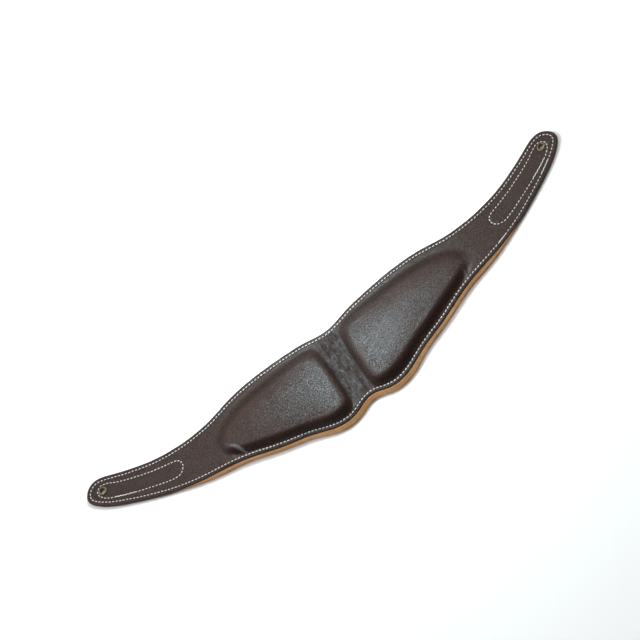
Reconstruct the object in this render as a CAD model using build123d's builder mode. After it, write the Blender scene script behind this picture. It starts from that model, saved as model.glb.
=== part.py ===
from build123d import *
import math
import os

os.makedirs("parts", exist_ok=True)

# ---------------------------------------------------------------------------
# Leather neck pad of a saxophone strap, lying flat, padded face up.
# Frame: +X along the long axis, +Y towards the neck (concave) edge, +Z up.
# Origin: centre of the footprint, on the back face (z = 0).
# All lengths in millimetres.
# ---------------------------------------------------------------------------

front_leather = 1.2        # thickness of the dark front leather
back_leather = 1.4         # thickness of the back leather
back_wall = 1.6            # thickness of the back leather's turned-up side
pad_edge_z = 5.6           # top of the back leather round the padded middle
arm_edge_z = 2.0           # top of the back leather along the arms
ramp_start_x = 118.0       # where the padded edge starts to taper
ramp_end_x = 162.0         # where it has come down to the arm's thickness
cushion_top_z = 13.5       # top of the moulded cushion, leather included

centre_gap = 3.2           # split between the two halves at the centre fold
flex_x = 131.0             # where the arm bends
flex_gap = 2.8             # split at the arm's bend

seam_inset = 2.9           # perimeter seam, measured in from the cut edge
thread_width = 0.8
thread_height = 0.35

stiffener_thickness = 0.6
foam_step_x = 142.0        # base foam lies over the stiffener from here on
foam_end_x = 154.0         # and is skived out here
eyelet_x, eyelet_y = 205.9, 35.7
eyelet_bore_r = 2.15
eyelet_barrel_r = 2.5
eyelet_flange_r = 3.4
eyelet_flange_h = 0.5
eyelet_lip_r = 3.0
eyelet_lip_h = 0.3
washer_r = 3.7
washer_t = 0.4
hole_clearance = 0.05

reach_x = 230.0            # further out than the tips
reach_y = 120.0            # half depth of the layer profiles

# right half of the outline, from the middle of the neck edge round the arm to
# the notch
outline_right = [
    (0.0, 24.0), (6.3, 24.5), (14.0, 26.2), (22.2, 28.0), (30.2, 29.0),
    (40.8, 29.9), (50.8, 30.5), (60.4, 30.9), (69.5, 30.8), (78.2, 30.4),
    (86.6, 29.5), (94.7, 28.1), (103.4, 26.2), (110.7, 24.9), (118.2, 24.3),
    (126.0, 24.3), (134.3, 24.9), (142.8, 26.2), (151.4, 27.9), (160.0, 30.0),
    (168.6, 32.6), (177.2, 35.7), (185.8, 39.1), (194.5, 43.0), (201.4, 46.0),
    (206.4, 47.1), (210.8, 46.8), (214.7, 44.9), (217.9, 41.7), (219.7, 38.0),
    (219.5, 34.7), (217.1, 30.9), (212.6, 26.3), (207.1, 22.0), (200.5, 17.8),
    (192.1, 13.1), (183.1, 8.4), (174.2, 4.0), (165.4, -0.1), (156.6, -3.7),
    (147.9, -7.0), (139.2, -9.9), (130.5, -12.4), (120.7, -14.8),
    (110.7, -17.1), (102.5, -19.5), (94.7, -22.3), (85.1, -26.2),
    (76.7, -29.5), (68.1, -32.4), (58.2, -35.4), (50.5, -38.2),
    (42.6, -41.8), (35.6, -44.8), (29.2, -46.6), (23.1, -47.3),
    (17.4, -46.8), (11.9, -45.1), (5.1, -42.4), (0.0, -41.6),
]

# foot of the moulded cushion (right side), and the rim of its flat top, point
# by point in the same order
cushion_foot = [
    (8.2, 8.0), (10.2, 18.0), (17.5, 22.0), (28.0, 22.9), (45.0, 23.4),
    (71.0, 23.3), (88.0, 21.0), (100.0, 17.0), (110.5, 11.5), (117.0, 3.0),
    (112.0, -7.5), (101.0, -14.2), (89.0, -18.2), (77.5, -22.6),
    (66.0, -27.0), (51.0, -32.5), (36.0, -38.6), (24.0, -40.9),
    (14.0, -40.2), (9.3, -34.0), (8.2, -14.0),
]
cushion_rim = [
    (16.8, 6.5), (19.0, 11.8), (25.5, 13.6), (34.0, 14.0), (47.0, 14.1),
    (69.0, 13.9), (84.0, 12.8), (94.0, 10.6), (102.0, 6.6), (107.5, 1.0),
    (103.5, -6.0), (95.0, -11.4), (86.0, -15.2), (77.0, -18.4),
    (65.5, -22.2), (51.0, -27.2), (37.0, -32.9), (26.0, -36.6),
    (19.8, -35.6), (17.2, -29.0), (16.8, -12.0),
]

# oblong seam on the right arm
tongue_loop = [
    (205.4, 40.2), (209.2, 38.6), (210.6, 35.0), (206.6, 29.0), (200.0, 24.9),
    (192.0, 20.8), (183.8, 17.1), (168.0, 10.7), (158.0, 6.9), (151.0, 5.4),
    (145.9, 7.6), (143.9, 11.8), (145.2, 15.6), (149.4, 17.7), (157.3, 20.1),
    (168.0, 23.6), (181.8, 29.0), (192.7, 34.0), (200.0, 38.4),
]


def edge_z(x):
    """Height of the back leather's top edge at a distance x from the middle."""
    t = (x - ramp_start_x) / (ramp_end_x - ramp_start_x)
    t = min(max(t, 0.0), 1.0)
    return pad_edge_z + (arm_edge_z - pad_edge_z) * t


def inset(points, distance):
    """Closed point list moved inwards along its normals."""
    n = len(points)
    area = sum(points[i][0] * points[(i + 1) % n][1]
               - points[(i + 1) % n][0] * points[i][1] for i in range(n))
    side = 1.0 if area > 0 else -1.0
    out = []
    for i in range(n):
        ax, ay = points[i - 1]
        bx, by = points[(i + 1) % n]
        length = math.hypot(bx - ax, by - ay)
        out.append((points[i][0] - side * (by - ay) / length * distance,
                    points[i][1] + side * (bx - ax) / length * distance))
    return out


def between(foot, rim, t):
    return [(a[0] + (b[0] - a[0]) * t, a[1] + (b[1] - a[1]) * t)
            for a, b in zip(foot, rim)]


pad_x0 = centre_gap / 2
pad_x1 = flex_x - flex_gap / 2
arm_x0 = flex_x + flex_gap / 2


def band(x0, x1, low, high):
    """Side profile of a layer that follows the tapering edge, from its lower
    to its upper offset above that edge; low None stands for the flat back."""
    xs = [x0] + [x for x in (ramp_start_x, ramp_end_x) if x0 < x < x1] + [x1]
    top = [(x, edge_z(x) + high) for x in xs]
    if low is None:
        return [(x0, 0.0), (x1, 0.0)] + top[::-1]
    return [(x, edge_z(x) + low) for x in xs] + top[::-1]


def outline_inset(distance):
    """Whole closed outline moved inwards by a distance."""
    whole = outline_right + [(-x, y) for x, y in outline_right[-2:0:-1]]
    return inset(whole, distance)


# ---- flat patterns --------------------------------------------------------
with BuildSketch() as outline:
    with BuildLine():
        Spline(*outline_inset(0.0), periodic=True)
    make_face()

with BuildSketch() as lining:                      # inside the turned-up side
    with BuildLine():
        Spline(*outline_inset(back_wall), periodic=True)
    make_face()

with BuildSketch() as seam:                        # perimeter seam line
    with BuildLine():
        Spline(*outline_inset(seam_inset - thread_width / 2), periodic=True)
    make_face()
    with BuildLine():
        Spline(*outline_inset(seam_inset + thread_width / 2), periodic=True)
    make_face(mode=Mode.SUBTRACT)

with BuildSketch() as tongue_seam:                 # oblong seam on the arm
    with BuildLine():
        Spline(*inset(tongue_loop, -thread_width / 2), periodic=True)
    make_face()
    with BuildLine():
        Spline(*inset(tongue_loop, thread_width / 2), periodic=True)
    make_face(mode=Mode.SUBTRACT)

with BuildSketch() as tongue:                      # reinforcement strip
    with BuildLine():
        Spline(*inset(tongue_loop, 1.4), periodic=True)
    make_face()

# ---- right half -----------------------------------------------------------
with BuildPart() as cushion_right:
    for t, z in ((0.0, pad_edge_z), (0.12, pad_edge_z + 1.0),
                 (0.72, cushion_top_z - 3.0),
                 (1.0, cushion_top_z - front_leather)):
        with BuildSketch(Plane.XY.offset(z)):
            with BuildLine():
                Spline(*inset(between(cushion_foot, cushion_rim, t),
                              front_leather), periodic=True)
            make_face()
    loft(ruled=True)
cushion_right.part.label = "cushion_right"

with BuildPart() as base_foam_right_pad:
    with BuildSketch(Plane.XZ):
        with BuildLine():
            Polyline(*[(pad_x0, back_leather), (pad_x1, back_leather),
                       (pad_x1, edge_z(pad_x1)), (ramp_start_x, pad_edge_z),
                       (pad_x0, pad_edge_z)], close=True)
        make_face()
    extrude(amount=reach_y, both=True)
    add(lining.sketch)
    extrude(amount=20, clean=False, mode=Mode.INTERSECT)
base_foam_right_pad.part.label = "base_foam_right_pad"

with BuildPart() as base_foam_right_arm:
    with BuildSketch(Plane.XZ):
        with BuildLine():
            Polyline(*[(arm_x0, back_leather), (foam_step_x, back_leather),
                       (foam_step_x, back_leather + stiffener_thickness),
                       (foam_end_x, back_leather + stiffener_thickness),
                       (foam_end_x, edge_z(foam_end_x)),
                       (arm_x0, edge_z(arm_x0))], close=True)
        make_face()
    extrude(amount=reach_y, both=True)
    add(lining.sketch)
    extrude(amount=20, clean=False, mode=Mode.INTERSECT)
base_foam_right_arm.part.label = "base_foam_right_arm"

with BuildPart() as stiffener_right:
    with BuildSketch(Plane.XY.offset(back_leather)):
        add(tongue.sketch)
        with Locations((eyelet_x, eyelet_y)):
            Circle(eyelet_barrel_r + hole_clearance, mode=Mode.SUBTRACT)
    extrude(amount=stiffener_thickness)
stiffener_right.part.label = "stiffener_right"

with BuildPart() as back_cover_right_pad:
    with BuildSketch(Plane.XZ):
        with BuildLine():
            Polyline(*band(pad_x0, pad_x1, None, 0.0), close=True)
        make_face()
    extrude(amount=reach_y, both=True)
    add(outline.sketch)
    extrude(amount=20, clean=False, mode=Mode.INTERSECT)
    with BuildSketch(Plane.XY.offset(back_leather)):
        add(lining.sketch)
    extrude(amount=20, mode=Mode.SUBTRACT)
back_cover_right_pad.part.label = "back_cover_right_pad"

with BuildPart() as back_cover_right_arm:
    with BuildSketch(Plane.XZ):
        with BuildLine():
            Polyline(*band(arm_x0, reach_x, None, 0.0), close=True)
        make_face()
    extrude(amount=reach_y, both=True)
    add(outline.sketch)
    extrude(amount=20, clean=False, mode=Mode.INTERSECT)
    for x0, x1, z in ((arm_x0 - 1.0, foam_step_x, back_leather),
                      (foam_step_x, foam_end_x,
                       back_leather + stiffener_thickness)):
        with BuildSketch(Plane.XY.offset(z)):
            add(lining.sketch)
            with Locations(((x0 + x1) / 2, 0)):
                Rectangle(x1 - x0, 2 * reach_y, mode=Mode.INTERSECT)
        extrude(amount=20, mode=Mode.SUBTRACT)
    add(stiffener_right.part, mode=Mode.SUBTRACT)
    with Locations((eyelet_x, eyelet_y, 0)):
        Cylinder(eyelet_barrel_r + hole_clearance, 20, mode=Mode.SUBTRACT)
        Cylinder(washer_r + hole_clearance, eyelet_lip_h + washer_t,
                 align=(Align.CENTER, Align.CENTER, Align.MIN),
                 mode=Mode.SUBTRACT)
back_cover_right_arm.part.label = "back_cover_right_arm"

with BuildPart() as front_cover_right_pad:
    with BuildSketch(Plane.XZ):
        with BuildLine():
            Polyline(*band(pad_x0, pad_x1, 0.0, front_leather), close=True)
        make_face()
    extrude(amount=reach_y, both=True)
    add(outline.sketch)
    extrude(amount=20, clean=False, mode=Mode.INTERSECT)
    for t, z in ((0.0, pad_edge_z + front_leather / 2),
                 (0.12, pad_edge_z + front_leather + 0.9),
                 (0.72, cushion_top_z - 1.8), (1.0, cushion_top_z)):
        with BuildSketch(Plane.XY.offset(z)):
            with BuildLine():
                Spline(*between(cushion_foot, cushion_rim, t), periodic=True)
            make_face()
    loft(ruled=True)
    add(cushion_right.part, mode=Mode.SUBTRACT)
front_cover_right_pad.part.label = "front_cover_right_pad"

with BuildPart() as front_cover_right_arm:
    with BuildSketch(Plane.XZ):
        with BuildLine():
            Polyline(*band(arm_x0, reach_x, 0.0, front_leather), close=True)
        make_face()
    extrude(amount=reach_y, both=True)
    add(outline.sketch)
    extrude(amount=20, clean=False, mode=Mode.INTERSECT)
    with Locations((eyelet_x, eyelet_y, 0)):
        Cylinder(eyelet_barrel_r + hole_clearance, 20, mode=Mode.SUBTRACT)
front_cover_right_arm.part.label = "front_cover_right_arm"

with BuildPart() as edge_stitching_right_pad:
    with BuildSketch(Plane.XZ):
        with BuildLine():
            Polyline(*band(pad_x0, pad_x1, front_leather,
                           front_leather + thread_height), close=True)
        make_face()
    extrude(amount=reach_y, both=True)
    add(seam.sketch)
    extrude(amount=20, clean=False, mode=Mode.INTERSECT)
edge_stitching_right_pad.part.label = "edge_stitching_right_pad"

with BuildPart() as edge_stitching_right_arm:
    with BuildSketch(Plane.XZ):
        with BuildLine():
            Polyline(*band(arm_x0, reach_x, front_leather,
                           front_leather + thread_height), close=True)
        make_face()
    extrude(amount=reach_y, both=True)
    add(seam.sketch)
    extrude(amount=20, clean=False, mode=Mode.INTERSECT)
edge_stitching_right_arm.part.label = "edge_stitching_right_arm"

with BuildPart() as tongue_stitching_right:
    with BuildSketch(Plane.XZ):
        with BuildLine():
            Polyline(*band(arm_x0, reach_x, front_leather,
                           front_leather + thread_height), close=True)
        make_face()
    extrude(amount=reach_y, both=True)
    add(tongue_seam.sketch)
    extrude(amount=20, clean=False, mode=Mode.INTERSECT)
tongue_stitching_right.part.label = "tongue_stitching_right"

arm_top_z = arm_edge_z + front_leather

with BuildPart() as eyelet_right:
    with BuildSketch(Plane.XZ.offset(-eyelet_y)):
        with BuildLine():
            Polyline(*[(eyelet_x + eyelet_bore_r, 0.0),
                       (eyelet_x + eyelet_lip_r, 0.0),
                       (eyelet_x + eyelet_lip_r, eyelet_lip_h),
                       (eyelet_x + eyelet_barrel_r, eyelet_lip_h),
                       (eyelet_x + eyelet_barrel_r, arm_top_z),
                       (eyelet_x + eyelet_flange_r, arm_top_z),
                       (eyelet_x + eyelet_flange_r - 0.15,
                        arm_top_z + eyelet_flange_h * 0.7),
                       (eyelet_x + eyelet_flange_r - 0.5,
                        arm_top_z + eyelet_flange_h),
                       (eyelet_x + eyelet_bore_r,
                        arm_top_z + eyelet_flange_h)], close=True)
        make_face()
    revolve(axis=Axis((eyelet_x, eyelet_y, 0), (0, 0, 1)))
eyelet_right.part.label = "eyelet_right"

with BuildPart() as eyelet_washer_right:
    with BuildSketch(Plane.XY.offset(eyelet_lip_h)):
        with Locations((eyelet_x, eyelet_y)):
            Circle(washer_r)
            Circle(eyelet_barrel_r + 0.02, mode=Mode.SUBTRACT)
    extrude(amount=washer_t)
eyelet_washer_right.part.label = "eyelet_washer_right"

# ---- left half, the mirror image ------------------------------------------
with BuildPart() as cushion_left:
    mirror(cushion_right.part, about=Plane.YZ)
cushion_left.part.label = "cushion_left"

with BuildPart() as base_foam_left_pad:
    mirror(base_foam_right_pad.part, about=Plane.YZ)
base_foam_left_pad.part.label = "base_foam_left_pad"

with BuildPart() as base_foam_left_arm:
    mirror(base_foam_right_arm.part, about=Plane.YZ)
base_foam_left_arm.part.label = "base_foam_left_arm"

with BuildPart() as stiffener_left:
    mirror(stiffener_right.part, about=Plane.YZ)
stiffener_left.part.label = "stiffener_left"

with BuildPart() as back_cover_left_pad:
    mirror(back_cover_right_pad.part, about=Plane.YZ)
back_cover_left_pad.part.label = "back_cover_left_pad"

with BuildPart() as back_cover_left_arm:
    mirror(back_cover_right_arm.part, about=Plane.YZ)
back_cover_left_arm.part.label = "back_cover_left_arm"

with BuildPart() as front_cover_left_pad:
    mirror(front_cover_right_pad.part, about=Plane.YZ)
front_cover_left_pad.part.label = "front_cover_left_pad"

with BuildPart() as front_cover_left_arm:
    mirror(front_cover_right_arm.part, about=Plane.YZ)
front_cover_left_arm.part.label = "front_cover_left_arm"

with BuildPart() as edge_stitching_left_pad:
    mirror(edge_stitching_right_pad.part, about=Plane.YZ)
edge_stitching_left_pad.part.label = "edge_stitching_left_pad"

with BuildPart() as edge_stitching_left_arm:
    mirror(edge_stitching_right_arm.part, about=Plane.YZ)
edge_stitching_left_arm.part.label = "edge_stitching_left_arm"

with BuildPart() as tongue_stitching_left:
    mirror(tongue_stitching_right.part, about=Plane.YZ)
tongue_stitching_left.part.label = "tongue_stitching_left"

with BuildPart() as eyelet_left:
    mirror(eyelet_right.part, about=Plane.YZ)
eyelet_left.part.label = "eyelet_left"

with BuildPart() as eyelet_washer_left:
    mirror(eyelet_washer_right.part, about=Plane.YZ)
eyelet_washer_left.part.label = "eyelet_washer_left"

pieces = [
    front_cover_left_arm, front_cover_left_pad,
    front_cover_right_pad, front_cover_right_arm,
    back_cover_left_arm, back_cover_left_pad,
    back_cover_right_pad, back_cover_right_arm,
    base_foam_left_arm, base_foam_left_pad,
    base_foam_right_pad, base_foam_right_arm,
    cushion_left, cushion_right,
    stiffener_left, stiffener_right,
    eyelet_left, eyelet_right,
    eyelet_washer_left, eyelet_washer_right,
    edge_stitching_left_arm, edge_stitching_left_pad,
    edge_stitching_right_pad, edge_stitching_right_arm,
    tongue_stitching_left, tongue_stitching_right,
]
for piece in pieces:
    export_step(piece.part, "parts/" + piece.part.label + ".step")

box = Compound(children=[piece.part for piece in pieces]).bounding_box()
print("size", round(box.size.X, 3), round(box.size.Y, 3), round(box.size.Z, 3))
print("low", box.min, "high", box.max)
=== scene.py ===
import math

import bmesh
import bpy
import numpy as np
from mathutils import Matrix, Vector, geometry


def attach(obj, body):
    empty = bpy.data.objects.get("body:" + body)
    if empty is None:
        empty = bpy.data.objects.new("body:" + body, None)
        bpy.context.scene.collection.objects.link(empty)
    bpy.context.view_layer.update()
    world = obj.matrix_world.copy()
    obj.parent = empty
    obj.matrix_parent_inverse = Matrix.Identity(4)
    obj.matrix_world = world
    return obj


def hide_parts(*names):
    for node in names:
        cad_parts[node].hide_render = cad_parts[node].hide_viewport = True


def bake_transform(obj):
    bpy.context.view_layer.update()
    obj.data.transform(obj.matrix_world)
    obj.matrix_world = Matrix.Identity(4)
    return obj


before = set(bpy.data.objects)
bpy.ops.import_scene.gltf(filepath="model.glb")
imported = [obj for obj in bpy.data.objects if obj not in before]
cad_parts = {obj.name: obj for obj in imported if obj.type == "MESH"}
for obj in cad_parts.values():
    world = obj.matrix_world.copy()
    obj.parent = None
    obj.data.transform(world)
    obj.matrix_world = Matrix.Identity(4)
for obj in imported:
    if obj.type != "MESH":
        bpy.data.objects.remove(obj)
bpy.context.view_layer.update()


# ---------------------------------------------------------------------------
# dimensions in millimetres; meshes are scaled to metres when they are made
# ---------------------------------------------------------------------------
PAD_EDGE, ARM_EDGE = 5.6, 2.0
RAMP0, RAMP1 = 113.0, 166.0
FRONT_T = 1.2
SEAM = 2.9
PITCH = 2.85
CUT = 60.0
EYE = (205.9, 35.7)
EYE_HOLE = 2.5

OUTLINE = [
    (0.0, 24.0), (6.3, 24.5), (14.0, 26.2), (22.2, 28.0), (30.2, 29.0),
    (40.8, 29.9), (50.8, 30.5), (60.4, 30.9), (69.5, 30.8), (78.2, 30.4),
    (86.6, 29.5), (94.7, 28.1), (103.4, 26.2), (110.7, 24.9), (118.2, 24.3),
    (126.0, 24.3), (134.3, 24.9), (142.8, 26.2), (151.4, 27.9), (160.0, 30.0),
    (168.6, 32.6), (177.2, 35.7), (185.8, 39.1), (194.5, 43.0), (201.4, 46.0),
    (206.4, 47.1), (210.8, 46.8), (214.7, 44.9), (217.9, 41.7), (219.7, 38.0),
    (219.5, 34.7), (217.1, 30.9), (212.6, 26.3), (207.1, 22.0), (200.5, 17.8),
    (192.1, 13.1), (183.1, 8.4), (174.2, 4.0), (165.4, -0.1), (156.6, -3.7),
    (147.9, -7.0), (139.2, -9.9), (130.5, -12.4), (120.7, -14.8),
    (110.7, -17.1), (102.5, -19.5), (94.7, -22.3), (85.1, -26.2),
    (76.7, -29.5), (68.1, -32.4), (58.2, -35.4), (50.5, -38.2),
    (42.6, -41.8), (35.6, -44.8), (29.2, -46.6), (23.1, -47.3),
    (17.4, -46.8), (11.9, -45.1), (5.1, -42.4), (0.0, -41.6),
]
# the two cushions, each as distances from the middle: where its wall meets the
# rim (FOOT) and where the wall meets its top (TOP). The strip between them
# lies a little to the left of the notches.
FOOT = {
    "right": [
        (3.6, 8.0), (5.6, 17.4), (13.6, 21.6), (28.0, 22.9), (45.0, 23.4),
        (71.0, 23.3), (88.0, 21.0), (100.0, 17.0), (110.5, 11.5), (117.0, 3.0),
        (112.0, -7.5), (101.0, -14.2), (89.0, -18.6), (77.5, -23.2),
        (66.0, -27.8), (51.0, -33.4), (36.0, -39.8), (22.0, -42.4),
        (10.6, -41.2), (5.0, -34.6), (3.6, -14.0),
    ],
    "left": [
        (11.4, 8.0), (13.2, 17.2), (19.5, 21.2), (29.5, 22.4), (45.0, 23.2),
        (71.0, 23.2), (88.0, 21.0), (100.0, 17.0), (110.5, 11.5), (117.0, 3.0),
        (112.0, -7.8), (101.0, -14.6), (89.0, -19.2), (77.5, -24.0),
        (66.0, -28.8), (51.0, -34.2), (37.0, -40.2), (26.0, -42.6),
        (16.8, -41.2), (12.4, -34.6), (11.4, -14.0),
    ],
}
TOP = {
    "right": [
        (12.0, 6.0), (14.6, 11.6), (22.0, 13.8), (33.0, 14.2), (47.0, 14.2),
        (69.0, 13.6), (84.0, 12.2), (94.0, 9.8), (102.0, 5.8), (107.0, 0.2),
        (103.3, -6.8), (95.0, -12.0), (86.0, -16.0), (77.0, -19.4),
        (65.5, -23.6), (51.0, -28.8), (36.0, -35.0), (22.4, -38.2),
        (14.4, -36.8), (12.0, -30.0), (11.6, -12.0),
    ],
    "left": [
        (18.0, 5.0), (20.4, 10.2), (27.0, 12.4), (36.0, 13.0), (48.0, 13.1),
        (69.0, 12.8), (84.0, 11.4), (94.0, 9.0), (102.0, 5.0), (107.0, -0.6),
        (103.0, -7.6), (95.0, -13.0), (86.0, -17.0), (77.0, -20.8),
        (65.8, -25.0), (51.3, -30.2), (37.8, -36.0), (27.2, -38.8),
        (20.4, -37.4), (18.2, -30.4), (17.8, -13.0),
    ],
}
STRIP_X = -3.9
TONGUE = [
    (205.4, 40.2), (209.2, 38.6), (210.6, 35.0), (206.6, 29.0), (200.0, 24.9),
    (192.0, 20.8), (183.8, 17.1), (168.0, 10.7), (158.0, 6.9), (151.0, 5.4),
    (145.9, 7.6), (143.9, 11.8), (145.2, 15.6), (149.4, 17.7), (157.3, 20.1),
    (168.0, 23.6), (181.8, 29.0), (192.7, 34.0), (200.0, 38.4),
]


# ---------------------------------------------------------------------------
# plane geometry
# ---------------------------------------------------------------------------
def closed_curve(points, step, soften=0.0):
    """Smooth closed polyline through points, evenly spaced by about step,
    counter-clockwise."""
    p = np.array(points, float)
    n = len(p)
    t = np.linspace(0, 1, 24, endpoint=False)[:, None]
    out = []
    for i in range(n):
        a, b, c, d = p[i - 1], p[i], p[(i + 1) % n], p[(i + 2) % n]
        ka = np.linalg.norm(b - a) ** 0.5
        kb = np.linalg.norm(c - b) ** 0.5
        kc = np.linalg.norm(d - c) ** 0.5
        m1 = (c - b) / kb - (c - a) / (ka + kb) + (b - a) / ka
        m2 = (d - c) / kc - (d - b) / (kb + kc) + (c - b) / kb
        m1, m2 = m1 * kb, m2 * kb
        out.append(b * (2 * t**3 - 3 * t**2 + 1) + m1 * (t**3 - 2 * t**2 + t)
                   + c * (-2 * t**3 + 3 * t**2) + m2 * (t**3 - t**2))
    q = respace(np.concatenate(out), 0.5)
    if soften > 0:
        k = int(round(soften / 0.5 * 3))
        w = np.exp(-0.5 * (np.arange(-k, k + 1) * 0.5 / soften) ** 2)
        w /= w.sum()
        q = sum(wi * np.roll(q, -j, axis=0)
                for wi, j in zip(w, range(-k, k + 1)))
    area = 0.5 * np.sum(q[:, 0] * np.roll(q[:, 1], -1)
                        - q[:, 1] * np.roll(q[:, 0], -1))
    if area < 0:
        q = q[::-1]
    return respace(q, step)


def lengths(q):
    d = np.hypot(*(np.roll(q, -1, axis=0) - q).T)
    return np.concatenate([[0], np.cumsum(d)])


def respace(q, step=None, count=None, phase=0.0):
    s = lengths(q)
    n = count or max(8, int(round(s[-1] / step)))
    at = ((np.arange(n) + phase) / n) * s[-1]
    loop = np.vstack([q, q[:1]])
    return np.c_[np.interp(at, s, loop[:, 0]), np.interp(at, s, loop[:, 1])]


def normals(q):
    t = np.roll(q, -1, axis=0) - np.roll(q, 1, axis=0)
    t /= np.linalg.norm(t, axis=1)[:, None]
    return np.c_[t[:, 1], -t[:, 0]]


def offset(q, out):
    """Moved outwards by out (negative: inwards)."""
    return q + normals(q) * out


def nearest(points, q):
    """Distance from each point to closed polyline q, the nearest place on it
    and the outward normal there."""
    a = q
    b = np.roll(q, -1, axis=0)
    ab = b - a
    l2 = (ab**2).sum(1)
    nor = np.c_[ab[:, 1], -ab[:, 0]] / np.sqrt(l2)[:, None]
    dist = np.empty(len(points))
    idx = np.empty(len(points), int)
    frac = np.empty(len(points))
    for k in range(0, len(points), 3000):
        p = points[k:k + 3000]
        ap = p[:, None] - a[None]
        t = np.clip((ap * ab[None]).sum(2) / l2[None], 0, 1)
        dd = ((ap - t[..., None] * ab[None]) ** 2).sum(2)
        i = dd.argmin(1)
        r = np.arange(len(p))
        dist[k:k + 3000] = np.sqrt(dd[r, i])
        idx[k:k + 3000] = i
        frac[k:k + 3000] = t[r, i]
    place = a[idx] + ab[idx] * frac[:, None]
    return dist, place, nor[idx], idx, frac


def inside(points, q):
    x, y = points[:, 0], points[:, 1]
    res = np.zeros(len(points), bool)
    a, b = q, np.roll(q, -1, axis=0)
    for k in range(0, len(points), 3000):
        px, py = x[k:k + 3000, None], y[k:k + 3000, None]
        cross = (a[None, :, 1] > py) != (b[None, :, 1] > py)
        with np.errstate(divide="ignore", invalid="ignore"):
            xi = (b[:, 0] - a[:, 0]) * (py - a[:, 1]) / (b[:, 1] - a[:, 1]) \
                + a[:, 0]
        res[k:k + 3000] = ((cross & (px < xi)).sum(1) % 2) == 1
    return res


def signed(points, q):
    d = nearest(points, q)[0]
    return np.where(inside(points, q), d, -d)


def step(a, b, x):
    t = np.clip((x - a) / (b - a), 0, 1)
    return t * t * (3 - 2 * t)


def hashed(i, j, seed):
    n = np.sin(i * 127.1 + j * 311.7 + seed * 74.7) * 43758.5453
    return n - np.floor(n)


def vnoise(x, y, seed=0):
    """Smooth value noise in -1..1."""
    i, j = np.floor(x), np.floor(y)
    u, v = x - i, y - j
    u, v = u * u * u * (u * (6 * u - 15) + 10), v * v * v * (v * (6 * v - 15) + 10)
    a, b = hashed(i, j, seed), hashed(i + 1, j, seed)
    c, d = hashed(i, j + 1, seed), hashed(i + 1, j + 1, seed)
    return 2 * ((a * (1 - u) + b * u) * (1 - v) + (c * (1 - u) + d * u) * v) - 1


whole = OUTLINE + [(-x, y) for x, y in OUTLINE[-2:0:-1]]
EDGE = closed_curve(whole, 0.7, soften=1.6)
FOOT_C = {k: closed_curve(v, 0.6, soften=2.0) for k, v in FOOT.items()}
TOP_C = {k: closed_curve(v, 0.6, soften=2.0) for k, v in TOP.items()}
TONGUE_C = closed_curve(TONGUE, 0.6, soften=0.8)


def mirrored(q):
    return (q * [-1, 1])[::-1]


# ---------------------------------------------------------------------------
# stitch rows: a closed line, the stitches' ends along it
# ---------------------------------------------------------------------------
def stitch_row(line, phase=0.0):
    s = lengths(line)
    n = int(round(s[-1] / PITCH))
    return respace(line, count=n, phase=phase)      # needle holes


edge_line = respace(offset(EDGE, -SEAM), 0.4)
edge_holes = stitch_row(edge_line)
tongue_holes = {"right": stitch_row(TONGUE_C, 0.3)}
tongue_holes["left"] = mirrored(tongue_holes["right"])
all_holes = np.vstack([edge_holes, tongue_holes["right"], tongue_holes["left"]])


# ---------------------------------------------------------------------------
# heights
# ---------------------------------------------------------------------------
def edge_z(x):
    """Top of the back leather's turned-up side."""
    return PAD_EDGE + (ARM_EDGE - PAD_EDGE) * step(RAMP0, RAMP1, np.abs(x))


def cushion(points):
    """Height of the moulded cushion above the rim, and its share 0..1."""
    h = np.zeros(len(points))
    share = np.zeros(len(points))
    for side, sgn in (("right", 1), ("left", -1)):
        p = points * [sgn, 1]
        near = (p[:, 0] > 1) & (p[:, 0] < 122)
        q = p[near]
        if not len(q):
            continue
        df, dr = signed(q, FOOT_C[side]), signed(q, TOP_C[side])
        t = np.where(dr >= 0, 1.0,
                     np.clip(df / np.maximum(df - dr, 1e-6), 0, 1))
        t = np.where(df <= 0, 0.0, t)
        soft = 0.25 + 0.75 * step(-8, 6, q[:, 1])
        bulged = 0.62 * (1 - (1 - t) ** 2.3) + 0.38 * t * t * (3 - 2 * t)
        s = bulged + soft * (t * t * (3 - 2 * t) * 0.85 + 0.15 * t - bulged)
        top = 6.2 * (1 - 0.26 * step(25, 120, q[:, 0]))
        # the side towards the concave edge rolls off more gently
        top *= 1 - 0.28 * step(-10, 21, q[:, 1])
        crown = 0.75 * (1 - np.exp(-np.maximum(dr, 0) / 11.0))
        h[near] = np.maximum(h[near], top * s + crown)
        share[near] = np.maximum(share[near], s)
    return h, share


def turned_down(x, y):
    """Share by which the pad's convex rim rolls over its edge."""
    return step(6, -14, y) * (1 - step(112, 150, np.abs(x)))


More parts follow.
